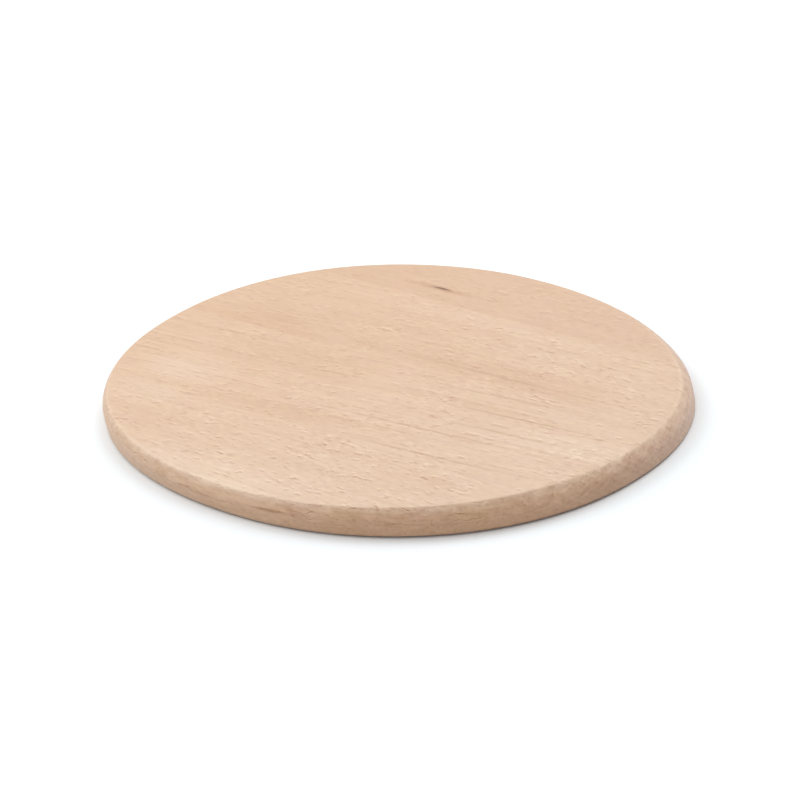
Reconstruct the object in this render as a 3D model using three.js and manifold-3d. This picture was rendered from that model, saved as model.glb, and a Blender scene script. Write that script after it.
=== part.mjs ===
// Oval kitchen cutting board of solid beech: four staves glued edge to edge, then shaped as one blank
// to an oval with a rolled rim. Millimetres, +Z up. The origin is the middle of the underside, and X runs
// along the grain.
import * as THREE from "three";
import { mergeVertices } from "three/addons/utils/BufferGeometryUtils.js";
import Module from "manifold-3d";

// Driving dimensions of the board
const LENGTH = 300; // along the grain, over the widest line of the rim
const THICKNESS = 12;
const OUTLINE_FULLNESS = 2.11; // exponent of the oval: 2 is an ellipse, more is squarer

// Widths of the glued staves across the grain: together they are the width of the board
const FRONT_STAVE_WIDTH = 54;
const MIDDLE_FRONT_STAVE_WIDTH = 58;
const MIDDLE_BACK_STAVE_WIDTH = 52;
const BACK_STAVE_WIDTH = 36;

// The rim's section, from the underside up to the work face
const BOTTOM_EASE = 1; // radius where the rim meets the underside
const ROLL_RADIUS = 7.5; // the convex roll, upright at its lower end
const TOP_SETBACK = 3.3; // how far inside the widest line the roll meets the work face
const ARRIS_RADIUS = 1.2; // the sanded edge between the roll and the work face

// Fineness of the facets
const OUTLINE_STEPS = 96;
const ARC_DIVISIONS = 2; // a path gives an arc two steps for each division

// How far the blocks that part the staves reach past the blank
const CUT_MARGIN = 10;

// Beech tones of the staves, and the dry, unvarnished finish
const STAVES = [
  { name: "stave_front", width: FRONT_STAVE_WIDTH, colour: 0xe9cfb6 },
  { name: "stave_middle_front", width: MIDDLE_FRONT_STAVE_WIDTH, colour: 0xe9ccb1 },
  { name: "stave_middle_back", width: MIDDLE_BACK_STAVE_WIDTH, colour: 0xe8cab0 },
  { name: "stave_back", width: BACK_STAVE_WIDTH, colour: 0xe5c6ab },
];
const BEECH_ROUGHNESS = 0.6;

// Sizes that follow from the driving ones
const WIDTH = STAVES.reduce((sum, stave) => sum + stave.width, 0);
// The roll's height is what its radius and setback give, limited by the thickness above the bottom ease.
const FREE_ROLL_HEIGHT = Math.sqrt(TOP_SETBACK * (2 * ROLL_RADIUS - TOP_SETBACK));
const ROLL_HEIGHT = Math.min(FREE_ROLL_HEIGHT, THICKNESS - BOTTOM_EASE);
const WIDEST_HEIGHT = THICKNESS - ROLL_HEIGHT;

const wasm = await Module();
wasm.setup();

// The rim's section as points: x is measured outwards from the widest line, y is the height.
function rimSection() {
  const arrisHeight = THICKNESS - ARRIS_RADIUS;
  const arrisRise = arrisHeight - WIDEST_HEIGHT;
  const arrisAngle = Math.asin(arrisRise / (ROLL_RADIUS - ARRIS_RADIUS));
  const arrisOut = (ROLL_RADIUS - ARRIS_RADIUS) * Math.cos(arrisAngle) - ROLL_RADIUS;
  const section = new THREE.Path();
  section.moveTo(-BOTTOM_EASE, 0);
  section.absarc(-BOTTOM_EASE, BOTTOM_EASE, BOTTOM_EASE, -Math.PI / 2, 0, false);
  section.absarc(-ROLL_RADIUS, WIDEST_HEIGHT, ROLL_RADIUS, 0, arrisAngle, false);
  section.absarc(arrisOut, arrisHeight, ARRIS_RADIUS, arrisAngle, Math.PI / 2, false);
  return section.getPoints(ARC_DIVISIONS);
}

// One point of the oval, moved outwards from the widest line along the oval's own normal.
function ovalPoint(turn, out, height) {
  const along = Math.cos(turn);
  const across = Math.sin(turn);
  const power = 2 / OUTLINE_FULLNESS;
  const x = (LENGTH / 2) * Math.sign(along) * Math.abs(along) ** power;
  const y = (WIDTH / 2) * Math.sign(across) * Math.abs(across) ** power;
  const normal = new THREE.Vector2(
    (Math.sign(along) * Math.abs(along) ** (2 - power)) / LENGTH,
    (Math.sign(across) * Math.abs(across) ** (2 - power)) / WIDTH,
  ).normalize();
  return new THREE.Vector3(x + out * normal.x, y + out * normal.y, height);
}

// The whole blank: one ring of points for each point of the section, closed by the underside and
// the work face.
function blankGeometry() {
  const section = rimSection();
  const points = [];
  for (const level of section) {
    for (let step = 0; step < OUTLINE_STEPS; step += 1) {
      points.push(ovalPoint((2 * Math.PI * step) / OUTLINE_STEPS, level.x, level.y));
    }
  }
  const under = points.push(new THREE.Vector3(0, 0, 0)) - 1;
  const work = points.push(new THREE.Vector3(0, 0, THICKNESS)) - 1;
  const topRing = (section.length - 1) * OUTLINE_STEPS;
  const index = [];
  for (let step = 0; step < OUTLINE_STEPS; step += 1) {
    const next = (step + 1) % OUTLINE_STEPS;
    for (let ring = 0; ring < topRing; ring += OUTLINE_STEPS) {
      const above = ring + OUTLINE_STEPS;
      index.push(ring + step, ring + next, above + next);
      index.push(ring + step, above + next, above + step);
    }
    index.push(under, next, step);
    index.push(work, topRing + step, topRing + next);
  }
  return new THREE.BufferGeometry().setFromPoints(points).setIndex(index);
}

// A closed geometry as a solid that can be cut.
function solidFrom(geometry) {
  const bare = geometry.clone();
  bare.deleteAttribute("normal");
  bare.deleteAttribute("uv");
  const merged = mergeVertices(bare);
  return new wasm.Manifold(
    new wasm.Mesh({
      numProp: 3,
      vertProperties: merged.getAttribute("position").array,
      triVerts: new Uint32Array(merged.index.array),
    }),
  );
}

// A cut solid back as a geometry.
function geometryFrom(solid) {
  const mesh = solid.getMesh();
  const geometry = new THREE.BufferGeometry();
  geometry.setAttribute("position", new THREE.BufferAttribute(mesh.vertProperties, 3));
  geometry.setIndex(new THREE.BufferAttribute(mesh.triVerts, 1));
  geometry.computeVertexNormals();
  return geometry;
}

// The stretch of the blank between two glue lines, low and high across the grain.
function staveSolid(blank, low, high) {
  const end = LENGTH / 2 + CUT_MARGIN;
  const corners = [
    new THREE.Vector2(-end, low),
    new THREE.Vector2(end, low),
    new THREE.Vector2(end, high),
    new THREE.Vector2(-end, high),
  ];
  const depth = THICKNESS + 2 * CUT_MARGIN;
  const block = new THREE.ExtrudeGeometry(new THREE.Shape(corners), { depth, bevelEnabled: false });
  block.translate(0, 0, -CUT_MARGIN);
  return blank.intersect(solidFrom(block));
}

const board = new THREE.Group();
board.name = "oval_cutting_board";

const blank = solidFrom(blankGeometry());
let glueLine = -WIDTH / 2;
STAVES.forEach((stave, place) => {
  const low = place === 0 ? glueLine - CUT_MARGIN : glueLine;
  glueLine += stave.width;
  const high = place === STAVES.length - 1 ? glueLine + CUT_MARGIN : glueLine;
  const finish = { color: stave.colour, roughness: BEECH_ROUGHNESS, metalness: 0 };
  const wood = new THREE.MeshStandardMaterial(finish);
  const mesh = new THREE.Mesh(geometryFrom(staveSolid(blank, low, high)), wood);
  mesh.name = stave.name;
  board.add(mesh);
});

export default board;
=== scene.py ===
import math

import bmesh
import bpy
from mathutils import Matrix, Vector


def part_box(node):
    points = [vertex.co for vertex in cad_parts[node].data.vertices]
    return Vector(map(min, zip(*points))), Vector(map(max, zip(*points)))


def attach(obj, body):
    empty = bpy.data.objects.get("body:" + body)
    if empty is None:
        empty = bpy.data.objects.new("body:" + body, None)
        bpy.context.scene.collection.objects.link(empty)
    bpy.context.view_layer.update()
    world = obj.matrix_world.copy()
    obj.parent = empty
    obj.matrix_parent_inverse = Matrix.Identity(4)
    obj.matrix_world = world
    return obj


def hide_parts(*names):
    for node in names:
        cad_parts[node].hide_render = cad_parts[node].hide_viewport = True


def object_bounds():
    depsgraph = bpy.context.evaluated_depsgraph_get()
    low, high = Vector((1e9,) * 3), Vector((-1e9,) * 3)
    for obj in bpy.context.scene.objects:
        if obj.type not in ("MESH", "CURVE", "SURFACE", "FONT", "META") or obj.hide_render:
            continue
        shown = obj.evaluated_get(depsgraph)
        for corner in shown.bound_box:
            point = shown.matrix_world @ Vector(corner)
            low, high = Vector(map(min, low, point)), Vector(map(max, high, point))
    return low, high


# Oval beech cutting board: four staves glued edge to edge, on a pale floor in soft studio light.
# Metres, in the CAD frame: X runs along the grain, Z is up, and the board rests at Z = 0.
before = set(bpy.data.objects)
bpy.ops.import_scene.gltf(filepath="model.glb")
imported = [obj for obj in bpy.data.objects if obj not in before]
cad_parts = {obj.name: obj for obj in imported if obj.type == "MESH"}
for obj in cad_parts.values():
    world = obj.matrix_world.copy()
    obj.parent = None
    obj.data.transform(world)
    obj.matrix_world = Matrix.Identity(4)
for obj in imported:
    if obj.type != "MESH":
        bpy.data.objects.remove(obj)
cad_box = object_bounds()

# Sizes that the frame gives
LENGTH, WIDTH, THICKNESS = cad_box[1] - cad_box[0]

# Shape of the oval and of its rim
OUTLINE_FULLNESS = 2.11  # exponent of the oval: 2 is an ellipse, more is squarer
BOTTOM_EASE = 0.0010  # radius where the rim meets the underside
ROLL_RADIUS = 0.0075  # the convex roll, upright at its lower end
TOP_SETBACK = 0.0033  # how far inside the widest line the roll meets the work face
ARRIS_RADIUS = 0.0012  # the sanded edge between the roll and the work face
TWIST = -0.0006  # how far the board's slight twist lifts a corner of the board's box

# Stretches where the rim differs from the rest: its place round the oval and its spread in degrees, and
# what it adds there to the radius of the sanded edge, to the setback of the roll, to the outline, or to
# the ease of the lower edge
SOFT_STRETCHES = (
    {"turn": -108, "spread": 38, "added": 0.0026},
    {"turn": 20, "spread": 38, "added": 0.0034},
)
WIDE_STRETCHES = (
    {"turn": 45, "spread": 32, "added": 0.0010},
    {"turn": -23, "spread": 14, "added": 0.0006},
)
OUTLINE_STRETCHES = (
    {"turn": -105, "spread": 22, "added": -0.0006},
    {"turn": -10, "spread": 32, "added": 0.0005},
    {"turn": 55, "spread": 16, "added": -0.0006},
    {"turn": 97, "spread": 18, "added": 0.0009},
    {"turn": -45, "spread": 42, "added": -0.0013},
    {"turn": 135, "spread": 42, "added": 0.0013},
)
LOW_STRETCHES = (
    {"turn": -110, "spread": 30, "added": 0.0012},
    {"turn": -5, "spread": 24, "added": 0.0005},
)

# Fineness of the board's mesh
OUTLINE_STEPS = 480
EASE_STEPS = 6
ROLL_STEPS = 14
ARRIS_STEPS = 8
FLAT_INSETS = (0.048, 0.024, 0.010, 0.0062)  # rings on both flat faces, measured in from the widest line

# Camera of the photograph
CAMERA_ANGLE = math.radians(12)
CAMERA_AZIMUTH = math.radians(53.38)
CAMERA_ELEVATION = math.radians(25.253)
CAMERA_ROLL = math.radians(13.578)
CAMERA_DISTANCE = 1.6085
CAMERA_TARGET = Vector((0.00416, 0.00221, 0.00234))

# Light, as shares of the brightness of a level face
WORLD_SHARE = 0.646
WORLD_LEAN = 0.34  # how much weaker the light is from the camera's side, and stronger from the far side
HORIZON_SHARE = 0.7  # how strong the world's light is near the horizon
ZENITH_SHARE = 1.15  # and from straight above
SOFTBOXES = (
    {"name": "left_softbox", "azimuth": -85, "elevation": 42, "share": 0.18},
    {"name": "right_softbox", "azimuth": 169, "elevation": 52, "share": 0.18},
)
LAMP_DISTANCE = 3.0
LAMP_SIZE = 2.0

# Floor
FLOOR_SIZE = 12.0
FLOOR_DROP = 0.0001  # keeps the floor clear of the board's flat underside
FLOOR_COLOUR = (0.50, 0.50, 0.50, 1)
FLOOR_WHITE = (1.11, 1.17, 1.205, 1)  # what the eye sees of it: plain white, with a cool shadow

WHITE = (1, 1, 1, 1)

# Beech colours
PALE_BEECH = (0.940, 0.698, 0.503, 1)
BROWN_BEECH = (0.465, 0.205, 0.07, 1)
RED_PALE_BEECH = (0.911, 0.666, 0.478, 1)
RED_BROWN_BEECH = (0.455, 0.19, 0.065, 1)
KNOT_BROWN = (0.18, 0.05, 0.0, 1)

# Tints that the beech colours are multiplied by
COOL_TINT = (1.012, 1.06, 1.13, 1)
WARM_TINT = (0.988, 0.94, 0.87, 1)
YELLOW_TINT = (1.0, 0.995, 0.96, 1)
PINK_TINT = (1.0, 0.978, 0.98, 1)
# the rim's own warmer colour, with painted light that sets how bright the rim is
RIM_COLOUR_AND_PAINTED_LIGHT = (1.083, 0.955, 0.848, 1)
# painted light: the left part of the rim lighter
LEFT_RIM_PAINTED_LIGHT = (1.11, 1.055, 0.985, 1)
# painted light: the right part of the rim lighter and cooler
RIGHT_RIM_PAINTED_LIGHT = (1.06, 1.005, 1.022, 1)
# painted reflection of the pale surroundings on the far part of the rim
FAR_RIM_PAINTED_REFLECTION = (1.03, 0.99, 1.045, 1)

# Finish of the dry, sanded wood
SPECULAR_LEVEL = 0.5
SHEEN_WEIGHT = 0.3
BUMP_DISTANCE = 0.0004
BUMP_STRENGTH = 0.15
PALE_ROUGHNESS = 0.5
BROWN_ROUGHNESS_ADDED = 0.1


# Patches: soft places in the wood

PATCH_DEPTH = 0.02  # half the depth of a patch of the work face: it goes on down through the board
GROWTH_LINE_HALF_WIDTH = 0.0009
GROWTH_LINE_TONE = 0.22


def patch(name, centre, half_size, **adds):
    """A soft place: its middle and half sizes in metres, and the tone, warmth or knot that it adds."""
    return {"name": name, "centre": centre, "half_size": half_size, "adds": adds}


def face_patch(name, place, half_size, **adds):
    """A patch of the work face, at a place in plan."""
    return patch(name, (*place, THICKNESS), (*half_size, PATCH_DEPTH), **adds)


def growth_line(place, half_length):
    """A dark line of late wood that shows on the work face."""
    half_size = (half_length, GROWTH_LINE_HALF_WIDTH)
    return face_patch("growth line", place, half_size, tone=GROWTH_LINE_TONE)


# The staves from front to back. Angles of the grain are in plan, in degrees. The heart of each tree lies
# under the board: how far across and how deep, in millimetres. Ring spacing is in millimetres too.
STAVES = (
    {
        "node": "stave_front",
        "piece": "beech_front_stave",
        "grain_angle": 1.5,
        "heart": (-80, -160),
        "seed": 3.0,
        "ring_spacing": 1.7,
        "ring_shift": 0.2,
        "ring_strength": 0.10,
        "stroke_strength": 0.25,
        "ray_strength": 0.18,
        "ray_share": 0.50,
        "tone": 0.258,
        "pale": PALE_BEECH,
        "brown": BROWN_BEECH,
        "patches": (
            patch("rim streak", (0.033, -0.097, 0.0075), (0.025, 0.02, 0.0010), tone=0.3, knot=0.08),
            # painted light: the front rim lighter here
            patch("painted light on front rim", (0.02, -0.099, 0.006), (0.055, 0.02, 0.008), tone=-0.08),
            face_patch("red flecks", (0.091, -0.054), (0.014, 0.003), tone=0.1),
            face_patch("pale front", (-0.005, -0.092), (0.1, 0.023), tone=-0.1, warmth=-0.16),
            face_patch("pale left", (-0.1, -0.05), (0.04, 0.018), tone=-0.06, warmth=-0.2),
            face_patch("warm right", (0.075, -0.06), (0.05, 0.02), tone=0.02, warmth=0.1),
        ),
    },
    {
        "node": "stave_middle_front",
        "piece": "beech_middle_front_stave",
        "grain_angle": 4.1,
        "heart": (60, -387),
        "seed": 11.0,
        "ring_spacing": 1.98,
        "ring_shift": 0.31,
        "ring_strength": 0.22,
        "stroke_strength": 0.20,
        "ray_strength": 0.12,
        "ray_share": 0.34,
        "tone": 0.25,
        "pale": PALE_BEECH,
        "brown": BROWN_BEECH,
        "patches": (
            face_patch("brown front edge", (-0.025, -0.039), (0.08, 0.009), tone=0.1, warmth=0.14),
            face_patch("pale left", (-0.1, -0.031), (0.042, 0.016), tone=-0.09, warmth=-0.26),
            face_patch("warm middle", (-0.052, -0.002), (0.06, 0.018), tone=0.065, warmth=0.16),
            face_patch("brown middle", (0.055, 0.001), (0.05, 0.009), tone=0.07),
            face_patch("pale right end", (0.12, -0.01), (0.055, 0.014), tone=-0.08, warmth=-0.18),
            # painted shade: the rim darker here
            patch("painted shade on rim", (0.149, -0.013, 0.006), (0.02, 0.026, 0.0065), tone=0.1),
            growth_line((0.0515, -0.0245), 0.1),
            growth_line((0.0765, 0.0116), 0.07),
            growth_line((0.09, -0.0004), 0.055),
            growth_line((0.094, -0.012), 0.05),
            growth_line((0.079, -0.0393), 0.065),
        ),
    },
    {
        "node": "stave_middle_back",
        "piece": "beech_middle_back_stave",
        "grain_angle": 1.8,
        "heart": (95, -300),
        "seed": 23.0,
        "ring_spacing": 1.5,
        "ring_shift": 0.3,
        "ring_strength": 0.12,
        "stroke_strength": 0.20,
        "ray_strength": 0.12,
        "ray_share": 0.36,
        "tone": 0.258,
        "pale": PALE_BEECH,
        "brown": BROWN_BEECH,
        "patches": (
            face_patch("brown left", (-0.105, 0.0135), (0.08, 0.0095), tone=0.08, warmth=0.26),
            face_patch("brown left back", (-0.098, 0.0235), (0.05, 0.009), tone=0.1, warmth=0.08),
            face_patch("brown middle", (0.035, 0.025), (0.145, 0.012), tone=0.085, warmth=0.14),
            face_patch("dark line", (0.05, 0.0232), (0.105, 0.0014), tone=0.14),
            face_patch("brown back", (-0.02, 0.037), (0.09, 0.008), tone=0.05),
            face_patch("pale back edge", (-0.01, 0.0585), (0.13, 0.01), tone=-0.045, warmth=-0.16),
            face_patch("cool right", (0.045, 0.047), (0.055, 0.012), warmth=-0.12),
        ),
    },
    {
        "node": "stave_back",
        "piece": "beech_back_stave",
        "grain_angle": 0.0,
        "heart": (130, -240),
        "seed": 37.0,
        "ring_spacing": 1.8,
        "ring_shift": 0.1,
        "ring_strength": 0.07,
        "stroke_strength": 0.12,
        "ray_strength": 0.12,
        "ray_share": 0.28,
        "tone": 0.262,
        "pale": RED_PALE_BEECH,
        "brown": RED_BROWN_BEECH,
        "patches": (
            face_patch("knot halo", (-0.043, 0.0734), (0.033, 0.0026), tone=0.24),
            face_patch("knot", (-0.0425, 0.0738), (0.0092, 0.0013), knot=0.9),
        ),
    },
)


# Shape of the board


def arc(centre, radius, start, end, steps):
    """Points on an arc, with both of its ends."""
    points = []
    for step in range(steps + 1):
        turn = start + (end - start) * step / steps
        points.append((centre[0] + radius * math.cos(turn), centre[1] + radius * math.sin(turn)))
    return points


def added(stretches, turn):
    """What the stretches add at a place round the oval."""
    result = 0
    for stretch in stretches:
        away = math.remainder(math.degrees(turn) - stretch["turn"], 360) / stretch["spread"]
        result += stretch["added"] * math.exp(-away * away)
    return result


def lift(x, y):
    """How far the board's twist lifts a place: the lowest places of the rim rest on the floor."""
    lowest = -abs(TWIST) * 2 ** (-2 / OUTLINE_FULLNESS)
    return TWIST * 4 * x * y / (LENGTH * WIDTH) - lowest


def board_section(turn):
    """Half section of the board, from inside the underside, round the rim, to inside the work face.

    Each point is (out from the widest line, height).
    """
    sanded = ARRIS_RADIUS + added(SOFT_STRETCHES, turn)
    setback = TOP_SETBACK + added(WIDE_STRETCHES, turn)
    roll_height = math.sqrt(setback * (2 * ROLL_RADIUS - setback))
    widest_height = THICKNESS - roll_height
    reach = ROLL_RADIUS - sanded
    arris_height = THICKNESS - sanded
    arris_turn = math.asin((arris_height - widest_height) / reach)
    arris_out = reach * math.cos(arris_turn) - ROLL_RADIUS
    eased = BOTTOM_EASE + added(LOW_STRETCHES, turn)
    ease = arc((-eased, eased), eased, -math.pi / 2, 0, EASE_STEPS)
    roll = arc((-ROLL_RADIUS, widest_height), ROLL_RADIUS, 0, arris_turn, ROLL_STEPS)
    arris = arc((arris_out, arris_height), sanded, arris_turn, math.pi / 2, ARRIS_STEPS)
    underside = [(-inset, 0) for inset in FLAT_INSETS]
    work_face = [(-inset, THICKNESS) for inset in reversed(FLAT_INSETS)]
    return underside + ease + roll + arris[1:] + work_face


def oval_point(turn, out, height):
    """A point of the oval, moved outwards from the widest line along the oval's own normal."""
    along = math.cos(turn)
    across = math.sin(turn)
    power = 2 / OUTLINE_FULLNESS
    x = LENGTH / 2 * math.copysign(abs(along) ** power, along)
    y = WIDTH / 2 * math.copysign(abs(across) ** power, across)
    normal = Vector(
        (
            math.copysign(abs(along) ** (2 - power), along) / LENGTH,
            math.copysign(abs(across) ** (2 - power), across) / WIDTH,
        )
    ).normalized()
    x += out * normal.x
    y += out * normal.y
    return x, y, height + lift(x, y)


def board_blank():
    """The whole board as one closed mesh, before it is parted into its staves."""
    blank = bmesh.new()
    columns = []
    for step in range(OUTLINE_STEPS):
        turn = 2 * math.pi * step / OUTLINE_STEPS
        moved = added(OUTLINE_STRETCHES, turn)
        points = [oval_point(turn, out + moved, height) for out, height in board_section(turn)]
        columns.append([blank.verts.new(point) for point in points])
    under_middle = blank.verts.new((0, 0, lift(0, 0)))
    work_middle = blank.verts.new((0, 0, THICKNESS + lift(0, 0)))
    for step, column in enumerate(columns):
        following = columns[(step + 1) % OUTLINE_STEPS]
        for level in range(len(column) - 1):
            blank.faces.new((column[level], following[level], following[level + 1], column[level + 1]))
        blank.faces.new((under_middle, following[0], column[0]))
        blank.faces.new((work_middle, column[-1], following[-1]))
    for face in blank.faces:
        face.smooth = True
    return blank


def saw_off(stave, glue_line, side):
    """Cuts away what lies past a glue line and closes the cut with a flat, sharp-edged face."""
    geometry = stave.verts[:] + stave.edges[:] + stave.faces[:]
    cut = bmesh.ops.bisect_plane(
        stave, geom=geometry, plane_co=(0, glue_line, 0), plane_no=(0, side, 0), clear_outer=True
    )
    edges = [item for item in cut["geom_cut"] if isinstance(item, bmesh.types.BMEdge)]
    for face in bmesh.ops.holes_fill(stave, edges=edges)["faces"]:
        for edge in face.edges:
            edge.smooth = False


def make_stave(blank, stave, material):
    """One stave of the board between its glue lines, in the place of its CAD node."""
    low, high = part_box(stave["node"])
    shape = blank.copy()
    if low.y > cad_box[0].y:
        saw_off(shape, low.y, -1)
    if high.y < cad_box[1].y:
        saw_off(shape, high.y, 1)
    mesh = bpy.data.meshes.new(stave["piece"])
    shape.to_mesh(mesh)
    shape.free()
    mesh.materials.append(material)
    piece = bpy.data.objects.new(stave["piece"], mesh)
    bpy.context.scene.collection.objects.link(piece)
    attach(piece, "root")
    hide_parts(stave["node"])


# Helpers for node trees

WHOLE = (0.0, 1.0)  # from none to all, as a span or as levels
FALLING = (1.0, 0.0)
SMOOTH_DETAIL = 1.0  # how many layers a noise has: more are finer
PLAIN_DETAIL = 2.0
FINE_DETAIL = 3.0
NOISE_MIDDLE = 0.5


def add_node(tree, kind, **settings):
    """A new node with its settings."""
    node = tree.nodes.new(kind)
    for name, value in settings.items():
        setattr(node, name, value)
    return node


def feed(tree, socket, value):
    """Links an input to another node's output, or sets the input's own value."""
    if isinstance(value, bpy.types.NodeSocket):
        tree.links.new(value, socket)
    else:
        socket.default_value = value


def fed_node(tree, kind, values, **settings):
    """A new node with its settings, and with values or links for its inputs in their order."""
    node = add_node(tree, kind, **settings)
    for socket, value in zip(node.inputs, values):
        feed(tree, socket, value)
    return node


def calc(tree, operation, *values):
    """Arithmetic on numbers."""
    return fed_node(tree, "ShaderNodeMath", values, operation=operation).outputs["Value"]


def total(tree, *values):
    """Sum of several numbers."""
    result = values[0]
    for value in values[1:]:
        result = calc(tree, "ADD", result, value)
    return result


def product(tree, *values):
    """Product of several numbers."""
    result = values[0]
    for value in values[1:]:
        result = calc(tree, "MULTIPLY", result, value)
    return result


def vector_calc(tree, operation, *vectors):
    """Arithmetic on vectors that gives a vector."""
    return fed_node(tree, "ShaderNodeVectorMath", vectors, operation=operation).outputs["Vector"]


def measure(tree, operation, *vectors):
    """Arithmetic on vectors that gives a number."""
    return fed_node(tree, "ShaderNodeVectorMath", vectors, operation=operation).outputs["Value"]


def combine(tree, x, y, z):
    """A vector from three numbers."""
    return fed_node(tree, "ShaderNodeCombineXYZ", (x, y, z)).outputs["Vector"]


def split(tree, vector):
    """The three numbers of a vector, by the names of the axes."""
    return fed_node(tree, "ShaderNodeSeparateXYZ", (vector,)).outputs


def coordinate(tree, name):
    """One of the surface's own coordinates, or a world's."""
    return add_node(tree, "ShaderNodeTexCoord").outputs[name]


def turned_back(tree, vector, angle):
    """A vector turned back by an angle in plan."""
    node = add_node(tree, "ShaderNodeVectorRotate", rotation_type="Z_AXIS", invert=True)
    feed(tree, node.inputs["Vector"], vector)
    feed(tree, node.inputs["Angle"], angle)
    return node.outputs["Vector"]


def ramp(tree, value, span, levels=WHOLE):
    """A smooth step: over the span of its value it goes from the first level to the second."""
    node = add_node(tree, "ShaderNodeMapRange", interpolation_type="SMOOTHSTEP")
    names = ("Value", "From Min", "From Max", "To Min", "To Max")
    for name, number in zip(names, (value, *span, *levels)):
        feed(tree, node.inputs[name], number)
    return node.outputs["Result"]


def noise(tree, vector, pitch, detail=PLAIN_DETAIL):
    """Noise around zero, from about -0.5 to 0.5. Pitch is the size of its waves along each axis."""
    node = add_node(tree, "ShaderNodeTexNoise")
    feed(tree, node.inputs["Vector"], vector_calc(tree, "DIVIDE", vector, pitch))
    feed(tree, node.inputs["Scale"], 1.0)
    feed(tree, node.inputs["Detail"], detail)
    return calc(tree, "SUBTRACT", node.outputs["Fac"], NOISE_MIDDLE)


def waves(tree, vector, layer):
    """Noise of a layer's pitch and strength."""
    return calc(tree, "MULTIPLY", noise(tree, vector, layer["pitch"]), layer["strength"])


def mix_colours(tree, factor, first, second, blend_type="MIX"):
    """One colour over another."""
    node = add_node(tree, "ShaderNodeMix", data_type="RGBA", blend_type=blend_type)
    feed(tree, node.inputs["Factor"], factor)
    feed(tree, node.inputs["A"], first)
    feed(tree, node.inputs["B"], second)
    return node.outputs["Result"]


def new_group(name, inputs, outputs):
    """A node group with its sockets: returns its tree, what comes in and what goes out."""
    tree = bpy.data.node_groups.new(name, "ShaderNodeTree")
    for socket_name, socket_type in inputs:
        tree.interface.new_socket(name=socket_name, in_out="INPUT", socket_type=socket_type)
    for socket_name, socket_type in outputs:
        tree.interface.new_socket(name=socket_name, in_out="OUTPUT", socket_type=socket_type)
    return tree, add_node(tree, "NodeGroupInput").outputs, add_node(tree, "NodeGroupOutput").inputs


def place_group(tree, group, values, label=""):
    """A node group set into a tree, with a value or a link for each of its inputs."""
    node = add_node(tree, "ShaderNodeGroup", node_tree=group, label=label)
    for name, value in values.items():
        feed(tree, node.inputs[name], value)
    return node.outputs


# Figure of the wood. Sizes are in millimetres along the wood's own directions: along the grain, round
# the heart and out from it. Strengths are added to the tone, from pale (0) to brown (1). Where a size or a
# strength is something else, its comment says so.

NUMBER = "NodeSocketFloat"
VECTOR = "NodeSocketVector"
COLOUR = "NodeSocketColor"

# How the grain runs: pitches are along the grain, across it and up, and strengths are in millimetres
MILLIMETRES = (1000, 1000, 1000)  # in a metre
SEED_STEP = 400.0  # how far along one seed lies from the next in the noise
WANDER = {"pitch": (150.0, 60.0, 60.0), "strength": 7.0}
RIPPLE = {"pitch": (24.0, 7.0, 7.0), "strength": 1.1}

# Rays and strokes, with painted highlights beside them
RAY_STAGGER = 1.1  # how far each row of rays is set along the grain from the next, per row width
RAY_CELL = (7.0, 1.7, 1.6)  # room for one ray
RAY_EDGE = (0.16, 0.36)  # where a ray starts to fade and ends, from its middle out
RAY_FADE = 0.35  # spread of chances over which a ray goes from hidden to shown
RAY_PAINTED_HIGHLIGHT = -0.4  # painted highlight beside a ray, per strength of its dark side
STROKE_PITCH = (5.5, 1.8, 1.6)
STROKE_EDGE = (0.08, 0.18)
# painted highlight beside a stroke, per strength of its dark side
STROKE_PAINTED_HIGHLIGHT = -0.7
PAINTED_HIGHLIGHT_SHIFT = (0.8, -0.9, 0.0)  # from the painted highlight beside a dark fleck to the fleck itself

# Growth rings
RING_FADE_PITCH = (45.0, 8.0, 3.0)
RING_FADE_SPAN = (-0.15, 0.15)
RING_DASH_PITCH = (5.0, 3.0, 3.0)
RING_DASH_SPAN = (-0.16, 0.12)
RING_LINE_SEASONS = (("Line", 0.5), ("Painted glint", 0.36))  # when in the year the dark line and its painted glint stand
RING_LINE_WIDTH = (0.0, 0.08)  # from a line's middle to its edge, in years
# painted glint beside a growth line, per strength of the line
RING_PAINTED_HIGHLIGHT = -0.5
RING_SHADE = 0.15

# Edges of the patches, from the middle out as a share of the half size: pitch is in metres
PATCH_EDGE = (0.1, 1.0)
PATCH_RAGGEDNESS = {"pitch": (0.012, 0.0012, 0.0012), "strength": 0.45}

# Warmth at the middle of the board, and its drift along and across the board, per metre
WARMTH_MIDDLE = 0.5
WARMTH_ALONG = -2.2
WARMTH_ACROSS = 1.75

# Spans of the surface's direction: its upward part, its level part along the grain and across it, and its
# level part towards the end of the board that lies on the camera's right
RIM_SPAN = (0.2, 1.0)
BELOW_EDGE_SPAN = (0.72, 0.97)
EDGE_START_SPAN = (0.78, 0.92)
EDGE_END_SPAN = (0.965, 0.995)
END_GRAIN_SPAN = (0.75, 0.97)
LONG_SIDE_SPAN = (0.65, 0.85)
UPPER_RIM_HEIGHTS = (0.0035, 0.0065)  # metres above the floor
RIGHT_END = (0.6, 0.8, 0.0)  # direction of that end
# where the rim's painted light and its painted reflection go
LEFT_PAINTED_LIGHT_SPAN = (-1.0, -0.75)
RIGHT_PAINTED_LIGHT_SPAN = (-0.75, 0.15)
FAR_PAINTED_REFLECTION_SPAN = (0.5, 0.95)

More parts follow.
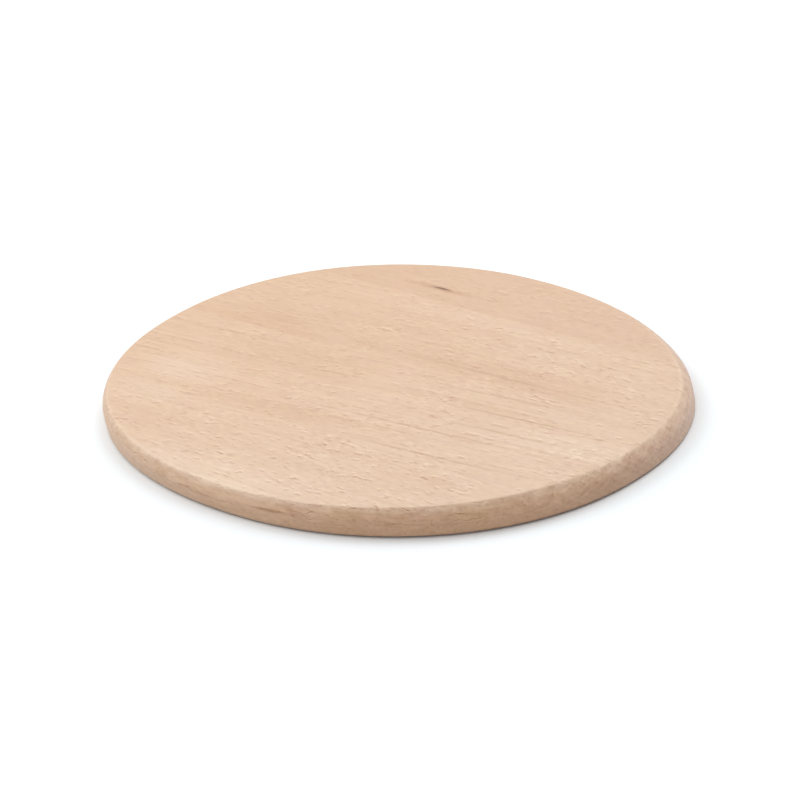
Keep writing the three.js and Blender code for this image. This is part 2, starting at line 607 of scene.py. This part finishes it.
# Layers that cover the whole board
CLOUDS = {"pitch": (110.0, 14.0, 14.0), "strength": 0.06}
BANDS = {"pitch": (20.0, 6.0, 6.0), "strength": 0.14}
FIBRES = {"pitch": (9.0, 0.4, 0.4), "strength": 0.10}
STREAK_PITCH = (32.0, 1.7, 1.7)
STREAKS_PER_STROKE = 0.9
STREAKS_ADDED = 0.02
DASH_PITCH = (4.5, 1.7, 1.6)
DASHES_PER_STROKE = 1.1
DASHES_ADDED = 0.16
CLUSTER_PITCH = (34.0, 9.0, 9.0)  # places where strokes and dashes are strong or weak
CLUSTER_SPAN = (-0.16, 0.16)
CLUSTER_LEVELS = (0.5, 1.4)
LIVELY_SPAN = (-0.14, 0.06)  # in metres along the board, from the plainer left to the livelier right
LIVELY_LEVELS = (0.68, 1.1)
HUE_PITCH = (11.0, 7.0, 7.0)
HUE_SPAN = (-0.2, 0.2)

# Layers of the rim, and the painted highlight on the sanded edge
RIM_QUIET = (1.0, 0.6)  # strokes and dashes on the work face, and out on the rim
RIM_ZIGZAG = {"pitch": (8.0, 5.0, 5.0), "strength": 4.0}  # strength in millimetres
RIM_RINGS = {"Spacing": 2.8, "Shift": 0.25}
RIM_LINE_STRENGTH = 0.8
RIM_MOTTLE = {"pitch": (10.4, 4.0, 1.7), "strength": 0.75}
END_STROKES = {"pitch": (9.0, 1.9, 1.0), "strength": 0.52}  # along the grain, and across their lean
# painted highlight: the sanded edge lighter than the work face
EDGE_PAINTED_HIGHLIGHT = -0.12


def grain_space_group():
    """The wood's own directions, in millimetres: along the grain, round the heart and out from it."""
    tree, source, result = new_group(
        "grain space",
        (("Grain angle", NUMBER), ("Heart across", NUMBER), ("Heart depth", NUMBER), ("Seed", NUMBER)),
        (("Grain", VECTOR), ("Place", VECTOR)),
    )
    place = vector_calc(tree, "MULTIPLY", coordinate(tree, "Object"), MILLIMETRES)
    turned = turned_back(tree, place, source["Grain angle"])
    shift = combine(tree, calc(tree, "MULTIPLY", source["Seed"], SEED_STEP), 0.0, 0.0)
    shifted = vector_calc(tree, "ADD", turned, shift)
    axes = split(tree, shifted)
    across = total(tree, axes["Y"], waves(tree, shifted, WANDER), waves(tree, shifted, RIPPLE))
    sideways = calc(tree, "SUBTRACT", across, source["Heart across"])
    upwards = calc(tree, "SUBTRACT", axes["Z"], source["Heart depth"])
    turn = calc(tree, "ARCTAN2", sideways, upwards)
    tangent = calc(tree, "MULTIPLY", turn, calc(tree, "ABSOLUTE", source["Heart depth"]))
    squares = calc(tree, "MULTIPLY_ADD", sideways, sideways, calc(tree, "MULTIPLY", upwards, upwards))
    radius = calc(tree, "SQRT", squares)
    feed(tree, result["Grain"], combine(tree, axes["X"], tangent, radius))
    feed(tree, result["Place"], shifted)
    return tree


def ray_fleck_group():
    """Wood rays: short spindles along the grain on a flat face, flakes on an edge, lines on an end."""
    tree, source, result = new_group(
        "ray flecks",
        (("Grain", VECTOR), ("Cell", VECTOR), ("Share", NUMBER)),
        (("Mask", NUMBER),),
    )
    axes = split(tree, source["Grain"])
    staggered = calc(tree, "MULTIPLY_ADD", axes["Y"], RAY_STAGGER, axes["X"])
    rows = combine(tree, staggered, axes["Y"], axes["Z"])
    cells = add_node(tree, "ShaderNodeTexVoronoi")
    feed(tree, cells.inputs["Vector"], vector_calc(tree, "DIVIDE", rows, source["Cell"]))
    feed(tree, cells.inputs["Scale"], 1.0)
    chance = add_node(tree, "ShaderNodeSeparateColor")
    feed(tree, chance.inputs["Color"], cells.outputs["Color"])
    spindle = ramp(tree, cells.outputs["Distance"], RAY_EDGE, FALLING)
    left_out = calc(tree, "SUBTRACT", 1.0, source["Share"])
    shown_span = (left_out, calc(tree, "ADD", left_out, RAY_FADE))
    shown = ramp(tree, chance.outputs["Red"], shown_span)
    feed(tree, result["Mask"], calc(tree, "MULTIPLY", spindle, shown))
    return tree


def stroke_group():
    """Ragged strokes along the grain, each with a dark side and a painted highlight beside it."""
    tree, source, result = new_group(
        "strokes",
        (("Grain", VECTOR), ("Pitch", VECTOR)),
        (("Dark", NUMBER), ("Painted highlight", NUMBER)),
    )
    shifted = vector_calc(tree, "ADD", source["Grain"], PAINTED_HIGHLIGHT_SHIFT)
    for name, place in (("Dark", source["Grain"]), ("Painted highlight", shifted)):
        ragged = noise(tree, place, source["Pitch"], FINE_DETAIL)
        feed(tree, result[name], ramp(tree, ragged, STROKE_EDGE))
    return tree


def growth_ring_group():
    """Growth rings: a broken late-wood line at the end of each year, with a painted glint beside it."""
    tree, source, result = new_group(
        "growth rings",
        (("Grain", VECTOR), ("Spacing", NUMBER), ("Shift", NUMBER)),
        (("Line", NUMBER), ("Painted glint", NUMBER), ("Shade", NUMBER)),
    )
    year = calc(tree, "DIVIDE", split(tree, source["Grain"])["Z"], source["Spacing"])
    season = calc(tree, "FRACT", calc(tree, "ADD", year, source["Shift"]))
    fade = ramp(tree, noise(tree, source["Grain"], RING_FADE_PITCH), RING_FADE_SPAN)
    dashed = ramp(tree, noise(tree, source["Grain"], RING_DASH_PITCH), RING_DASH_SPAN)
    shown = calc(tree, "MULTIPLY", fade, dashed)
    for name, middle in RING_LINE_SEASONS:
        away = calc(tree, "ABSOLUTE", calc(tree, "SUBTRACT", season, middle))
        line = ramp(tree, away, RING_LINE_WIDTH, FALLING)
        feed(tree, result[name], calc(tree, "MULTIPLY", line, shown))
    feed(tree, result["Shade"], ramp(tree, season, WHOLE))
    return tree


def tone_patch_group():
    """A soft-edged patch in the wood, an ellipsoid with a centre and half sizes in metres."""
    tree, source, result = new_group(
        "tone patch",
        (("Centre", VECTOR), ("Half size", VECTOR), ("Angle", NUMBER)),
        (("Mask", NUMBER),),
    )
    position = coordinate(tree, "Object")
    from_centre = vector_calc(tree, "SUBTRACT", position, source["Centre"])
    turned = turned_back(tree, from_centre, source["Angle"])
    length = measure(tree, "LENGTH", vector_calc(tree, "DIVIDE", turned, source["Half size"]))
    distance = calc(tree, "ADD", length, waves(tree, position, PATCH_RAGGEDNESS))
    feed(tree, result["Mask"], ramp(tree, distance, PATCH_EDGE, FALLING))
    return tree


def warmth_group():
    """How warm the wood is, from 0, cool, to 1, warm: it drifts over the board, and patches add to it."""
    tree, source, result = new_group("warmth", (("Added", NUMBER),), (("Warmth", NUMBER),))
    axes = split(tree, coordinate(tree, "Object"))
    along = calc(tree, "MULTIPLY_ADD", axes["X"], WARMTH_ALONG, WARMTH_MIDDLE)
    across = calc(tree, "MULTIPLY_ADD", axes["Y"], WARMTH_ACROSS, along)
    feed(tree, result["Warmth"], calc(tree, "ADD", across, source["Added"]))
    return tree


def facing_group():
    """Which way a surface faces: up on the sanded edge, out on the rim, or along the grain at an end; and
    the rim's own colour with its painted light and painted reflection.
    """
    tree, _, result = new_group(
        "facing",
        (),
        (
            ("End grain", NUMBER),
            ("Painted edge highlight", NUMBER),
            ("Rim", NUMBER),
            ("Upper rim", NUMBER),
            ("Long rim", NUMBER),
            ("Rim colour and painted light", COLOUR),
        ),
    )
    height = split(tree, coordinate(tree, "Object"))["Z"]
    facing = split(tree, coordinate(tree, "Normal"))
    level_direction = vector_calc(tree, "NORMALIZE", combine(tree, facing["X"], facing["Y"], 0.0))
    level = split(tree, level_direction)

    to_right_end = measure(tree, "DOT_PRODUCT", level_direction, RIGHT_END)
    # the rim's own colour, with painted light on its left and right parts and a painted reflection on the
    # far part
    left_painted_light = mix_colours(tree, ramp(tree, to_right_end, LEFT_PAINTED_LIGHT_SPAN), LEFT_RIM_PAINTED_LIGHT, RIM_COLOUR_AND_PAINTED_LIGHT)
    near_painted_light = mix_colours(tree, ramp(tree, level["Y"], RIGHT_PAINTED_LIGHT_SPAN), left_painted_light, RIGHT_RIM_PAINTED_LIGHT)
    rim_colour_and_light = mix_colours(tree, ramp(tree, to_right_end, FAR_PAINTED_REFLECTION_SPAN), near_painted_light, FAR_RIM_PAINTED_REFLECTION)
    feed(tree, result["Rim colour and painted light"], rim_colour_and_light)

    edge_start = ramp(tree, facing["Z"], EDGE_START_SPAN)
    edge_end = ramp(tree, facing["Z"], EDGE_END_SPAN, FALLING)
    feed(tree, result["Painted edge highlight"], calc(tree, "MULTIPLY", edge_start, edge_end))
    rim = ramp(tree, facing["Z"], RIM_SPAN, FALLING)
    feed(tree, result["Rim"], rim)
    below_edge = ramp(tree, facing["Z"], BELOW_EDGE_SPAN, FALLING)
    upper_rim = calc(tree, "MULTIPLY", below_edge, ramp(tree, height, UPPER_RIM_HEIGHTS))
    feed(tree, result["Upper rim"], upper_rim)
    along = calc(tree, "ABSOLUTE", level["X"])
    feed(tree, result["End grain"], calc(tree, "MULTIPLY", rim, ramp(tree, along, END_GRAIN_SPAN)))
    long_side = ramp(tree, along, LONG_SIDE_SPAN, FALLING)
    feed(tree, result["Long rim"], calc(tree, "MULTIPLY", upper_rim, long_side))
    return tree


def rim_figure(tree, space, side, growth_rings, lively):
    """What the rim adds to the tone: zigzag growth lines, mottle, leaning end strokes and a painted
    highlight on the sanded edge.
    """
    place = space["Place"]
    zigzag = combine(tree, 0.0, 0.0, waves(tree, place, RIM_ZIGZAG))
    rim_grain = vector_calc(tree, "ADD", place, zigzag)
    rings = place_group(tree, growth_rings, {"Grain": rim_grain, **RIM_RINGS})
    # growth lines with painted glints beside them
    ring_sides = calc(tree, "MULTIPLY_ADD", rings["Painted glint"], RING_PAINTED_HIGHLIGHT, rings["Line"])
    lines = product(tree, ring_sides, side["Long rim"], RIM_LINE_STRENGTH)
    mottle = product(tree, waves(tree, space["Grain"], RIM_MOTTLE), side["Upper rim"], lively)
    axes = split(tree, place)
    leaned = combine(tree, axes["X"], calc(tree, "ADD", axes["Y"], axes["Z"]), 0.0)
    end_strokes = calc(tree, "MULTIPLY", waves(tree, leaned, END_STROKES), side["End grain"])
    # painted highlight along the sanded edge
    edge = calc(tree, "MULTIPLY", side["Painted edge highlight"], EDGE_PAINTED_HIGHLIGHT)
    return total(tree, lines, mottle, end_strokes, edge)


def beech_figure_group(grain_space, strokes, ray_flecks, growth_rings, facing):
    """Everything that beech shows: tone from pale (0) to brown (1) with painted highlights beside its
    marks, hue, relief and dullness, and the rim's colour with its painted light.
    """
    tree, source, result = new_group(
        "beech figure",
        (
            ("Grain angle", NUMBER),
            ("Heart across", NUMBER),
            ("Heart depth", NUMBER),
            ("Seed", NUMBER),
            ("Ring spacing", NUMBER),
            ("Ring shift", NUMBER),
            ("Ring strength", NUMBER),
            ("Stroke strength", NUMBER),
            ("Ray strength", NUMBER),
            ("Ray share", NUMBER),
            ("Tone", NUMBER),
        ),
        (
            ("Tone", NUMBER),
            ("Hue", NUMBER),
            ("Rim", NUMBER),
            ("Rim colour and painted light", COLOUR),
            ("Height", NUMBER),
            ("Roughness", NUMBER),
        ),
    )
    names = ("Grain angle", "Heart across", "Heart depth", "Seed")
    space = place_group(tree, grain_space, {name: source[name] for name in names})
    grain = space["Grain"]
    side = place_group(tree, facing, {})

    # Where the figure is strong
    clusters = noise(tree, grain, CLUSTER_PITCH, SMOOTH_DETAIL)
    strong = ramp(tree, clusters, CLUSTER_SPAN, CLUSTER_LEVELS)
    quiet = ramp(tree, side["Rim"], WHOLE, RIM_QUIET)
    lively = ramp(tree, split(tree, coordinate(tree, "Object"))["X"], LIVELY_SPAN, LIVELY_LEVELS)
    shown = product(tree, strong, quiet, lively)

    # Rays, with painted highlights beside them
    ray_values = {"Cell": RAY_CELL, "Share": source["Ray share"]}
    rays = place_group(tree, ray_flecks, {"Grain": grain, **ray_values})["Mask"]
    painted_glint_place = vector_calc(tree, "ADD", grain, PAINTED_HIGHLIGHT_SHIFT)
    painted_ray_glints = place_group(tree, ray_flecks, {"Grain": painted_glint_place, **ray_values})["Mask"]
    dark_rays = calc(tree, "MULTIPLY", rays, source["Ray strength"])
    painted_ray_highlights = product(tree, painted_ray_glints, source["Ray strength"], RAY_PAINTED_HIGHLIGHT)

    # Growth rings, with painted glints beside the lines
    ring_values = {"Grain": grain, "Spacing": source["Ring spacing"], "Shift": source["Ring shift"]}
    rings = place_group(tree, growth_rings, ring_values)
    ring_sides = calc(tree, "MULTIPLY_ADD", rings["Painted glint"], RING_PAINTED_HIGHLIGHT, rings["Line"])
    ring_figure = calc(tree, "MULTIPLY_ADD", rings["Shade"], RING_SHADE, ring_sides)
    ring_tone = calc(tree, "MULTIPLY", ring_figure, source["Ring strength"])

    # Strokes with painted highlights beside them, dashes, fibres and streaks
    stroke = place_group(tree, strokes, {"Grain": grain, "Pitch": STROKE_PITCH})
    stroke_sides = calc(tree, "MULTIPLY_ADD", stroke["Painted highlight"], STROKE_PAINTED_HIGHLIGHT, stroke["Dark"])
    stroke_tone = product(tree, stroke_sides, source["Stroke strength"], shown)
    dash_strength = calc(tree, "MULTIPLY_ADD", source["Stroke strength"], DASHES_PER_STROKE, DASHES_ADDED)
    dashes = product(tree, noise(tree, grain, DASH_PITCH, FINE_DETAIL), shown, dash_strength)
    fibres = waves(tree, grain, FIBRES)
    streak_strength = calc(
        tree, "MULTIPLY_ADD", source["Stroke strength"], STREAKS_PER_STROKE, STREAKS_ADDED
    )
    streaks = calc(tree, "MULTIPLY", noise(tree, grain, STREAK_PITCH), streak_strength)

    tone = total(
        tree,
        source["Tone"],
        waves(tree, grain, CLOUDS),
        waves(tree, grain, BANDS),
        streaks,
        dashes,
        fibres,
        stroke_tone,
        dark_rays,
        painted_ray_highlights,
        ring_tone,
        rim_figure(tree, space, side, growth_rings, lively),
    )
    feed(tree, result["Tone"], tone)
    feed(tree, result["Hue"], ramp(tree, noise(tree, grain, HUE_PITCH, SMOOTH_DETAIL), HUE_SPAN))
    feed(tree, result["Rim"], side["Rim"])
    feed(tree, result["Rim colour and painted light"], side["Rim colour and painted light"])
    feed(tree, result["Height"], total(tree, dashes, fibres, dark_rays))
    roughness = calc(tree, "MULTIPLY_ADD", tone, BROWN_ROUGHNESS_ADDED, PALE_ROUGHNESS)
    feed(tree, result["Roughness"], roughness)
    return tree


# Materials


def new_material(name):
    """A material with an empty node tree."""
    material = bpy.data.materials.new(name)
    material.use_nodes = True
    material.node_tree.nodes.clear()
    return material


def patch_sums(tree, stave, tone_patch):
    """What the patches of a stave add together: tone, warmth, and how dark a knot is."""
    sums = {"tone": 0.0, "warmth": 0.0, "knot": 0.0}
    for place in stave["patches"]:
        values = {
            "Centre": place["centre"],
            "Half size": place["half_size"],
            "Angle": math.radians(stave["grain_angle"]),
        }
        mask = place_group(tree, tone_patch, values, place["name"])["Mask"]
        for kind, amount in place["adds"].items():
            sums[kind] = calc(tree, "MULTIPLY_ADD", mask, amount, sums[kind])
    return sums


def stave_material(stave, figure, warmth, tone_patch):
    """Dry, sanded beech for one stave."""
    material = new_material(stave["piece"])
    tree = material.node_tree
    patches = patch_sums(tree, stave, tone_patch)
    wood = place_group(
        tree,
        figure,
        {
            "Grain angle": math.radians(stave["grain_angle"]),
            "Heart across": stave["heart"][0],
            "Heart depth": stave["heart"][1],
            "Seed": stave["seed"],
            "Ring spacing": stave["ring_spacing"],
            "Ring shift": stave["ring_shift"],
            "Ring strength": stave["ring_strength"],
            "Stroke strength": stave["stroke_strength"],
            "Ray strength": stave["ray_strength"],
            "Ray share": stave["ray_share"],
            "Tone": stave["tone"],
        },
    )
    tone = calc(tree, "ADD", wood["Tone"], patches["tone"])
    plain_colour = mix_colours(tree, tone, stave["pale"], stave["brown"])
    tint = mix_colours(tree, wood["Hue"], YELLOW_TINT, PINK_TINT)
    tinted = mix_colours(tree, 1.0, plain_colour, tint, "MULTIPLY")
    warm = place_group(tree, warmth, {"Added": patches["warmth"]})["Warmth"]
    drift = mix_colours(tree, warm, COOL_TINT, WARM_TINT)
    flat_colour = mix_colours(tree, 1.0, tinted, drift, "MULTIPLY")
    # the rim's own warmer colour, with painted light and a painted reflection
    rim_colour_with_painted_light = mix_colours(tree, wood["Rim"], flat_colour, wood["Rim colour and painted light"], "MULTIPLY")
    colour = mix_colours(tree, patches["knot"], rim_colour_with_painted_light, KNOT_BROWN)
    bump = add_node(tree, "ShaderNodeBump")
    feed(tree, bump.inputs["Height"], wood["Height"])
    feed(tree, bump.inputs["Distance"], BUMP_DISTANCE)
    feed(tree, bump.inputs["Strength"], BUMP_STRENGTH)
    surface = add_node(tree, "ShaderNodeBsdfPrincipled")
    feed(tree, surface.inputs["Base Color"], colour)
    feed(tree, surface.inputs["Roughness"], wood["Roughness"])
    feed(tree, surface.inputs["Specular IOR Level"], SPECULAR_LEVEL)
    feed(tree, surface.inputs["Sheen Weight"], SHEEN_WEIGHT)
    feed(tree, surface.inputs["Normal"], bump.outputs["Normal"])
    output = add_node(tree, "ShaderNodeOutputMaterial")
    feed(tree, output.inputs["Surface"], surface.outputs["BSDF"])
    return material


def seen_directly(tree):
    """1 for what the camera sees, also in a gloss or through glass, and 0 for the light that it gives."""
    path = add_node(tree, "ShaderNodeLightPath").outputs
    seen = total(tree, path["Is Camera Ray"], path["Is Glossy Ray"], path["Is Transmission Ray"])
    return calc(tree, "MINIMUM", seen, 1.0)


def floor_material():
    """Plain pale floor that looks white where no shadow falls."""
    material = new_material("pale_floor")
    tree = material.node_tree
    surface = add_node(tree, "ShaderNodeBsdfDiffuse")
    colour = mix_colours(tree, seen_directly(tree), FLOOR_COLOUR, FLOOR_WHITE)
    feed(tree, surface.inputs["Color"], colour)
    output = add_node(tree, "ShaderNodeOutputMaterial")
    feed(tree, output.inputs["Surface"], surface.outputs["BSDF"])
    return material


# Stage


def add_floor():
    """A wide floor under the board."""
    half = FLOOR_SIZE / 2
    plan = ((-half, -half), (half, -half), (half, half), (-half, half))
    mesh = bpy.data.meshes.new("floor")
    mesh.from_pydata([(x, y, -FLOOR_DROP) for x, y in plan], [], [(0, 1, 2, 3)])
    mesh.materials.append(floor_material())
    floor = bpy.data.objects.new("floor", mesh)
    bpy.context.scene.collection.objects.link(floor)


def compass(azimuth, elevation):
    """Direction from the board towards a place round it: azimuth 0 is the front, and 90 degrees is +X."""
    level = math.cos(elevation)
    return Vector((math.sin(azimuth) * level, -math.cos(azimuth) * level, math.sin(elevation)))


def add_softbox(softbox):
    """A large soft lamp that gives a share of the brightness of a level face."""
    direction = compass(math.radians(softbox["azimuth"]), math.radians(softbox["elevation"]))
    lamp = bpy.data.lights.new(softbox["name"], "AREA")
    lamp.shape = "SQUARE"
    lamp.size = LAMP_SIZE
    lamp.energy = softbox["share"] * math.pi**2 * LAMP_DISTANCE**2 / direction.z
    holder = bpy.data.objects.new(softbox["name"], lamp)
    holder.location = direction * LAMP_DISTANCE
    holder.rotation_euler = direction.to_track_quat("Z", "Y").to_euler()
    holder.visible_camera = False
    bpy.context.scene.collection.objects.link(holder)


def light_world():
    """Soft light from all round, weakest from the camera's side. The camera sees it as white."""
    world = bpy.data.worlds.new("studio")
    bpy.context.scene.world = world
    world.use_nodes = True
    tree = world.node_tree
    tree.nodes.clear()
    direction = coordinate(tree, "Generated")
    to_camera = measure(tree, "DOT_PRODUCT", direction, compass(CAMERA_AZIMUTH, 0))
    lean = calc(tree, "MULTIPLY_ADD", to_camera, -WORLD_LEAN * WORLD_SHARE, WORLD_SHARE)
    height = split(tree, direction)["Z"]
    rise = calc(tree, "MULTIPLY_ADD", height, ZENITH_SHARE - HORIZON_SHARE, HORIZON_SHARE)
    light = calc(tree, "MULTIPLY", lean, calc(tree, "MAXIMUM", rise, 0.0))
    seen = seen_directly(tree)
    hidden = calc(tree, "SUBTRACT", 1.0, seen)
    background = add_node(tree, "ShaderNodeBackground")
    feed(tree, background.inputs["Color"], WHITE)
    feed(tree, background.inputs["Strength"], calc(tree, "MULTIPLY_ADD", light, hidden, seen))
    output = add_node(tree, "ShaderNodeOutputWorld")
    feed(tree, output.inputs["Surface"], background.outputs["Background"])


def add_camera():
    """The photograph's camera: a long lens, high at the front right, turned about its own axis."""
    back = compass(CAMERA_AZIMUTH, CAMERA_ELEVATION)
    right = Vector((math.cos(CAMERA_AZIMUTH), math.sin(CAMERA_AZIMUTH), 0))
    up = back.cross(right)
    turned_right = right * math.cos(CAMERA_ROLL) - up * math.sin(CAMERA_ROLL)
    turned_up = right * math.sin(CAMERA_ROLL) + up * math.cos(CAMERA_ROLL)
    lens = bpy.data.cameras.new("camera")
    lens.angle = CAMERA_ANGLE
    camera = bpy.data.objects.new("camera", lens)
    axes = Matrix((turned_right, turned_up, back)).transposed()
    camera.matrix_world = Matrix.Translation(CAMERA_TARGET + back * CAMERA_DISTANCE) @ axes.to_4x4()
    bpy.context.scene.collection.objects.link(camera)
    bpy.context.scene.camera = camera


def build_board():
    """The four staves with their materials."""
    groups = (grain_space_group(), stroke_group(), ray_fleck_group(), growth_ring_group(), facing_group())
    figure = beech_figure_group(*groups)
    warmth = warmth_group()
    tone_patch = tone_patch_group()
    blank = board_blank()
    for stave in STAVES:
        make_stave(blank, stave, stave_material(stave, figure, warmth, tone_patch))
    blank.free()


bpy.context.scene.view_settings.view_transform = "Standard"
add_camera()
add_floor()
light_world()
for softbox in SOFTBOXES:
    add_softbox(softbox)
build_board()
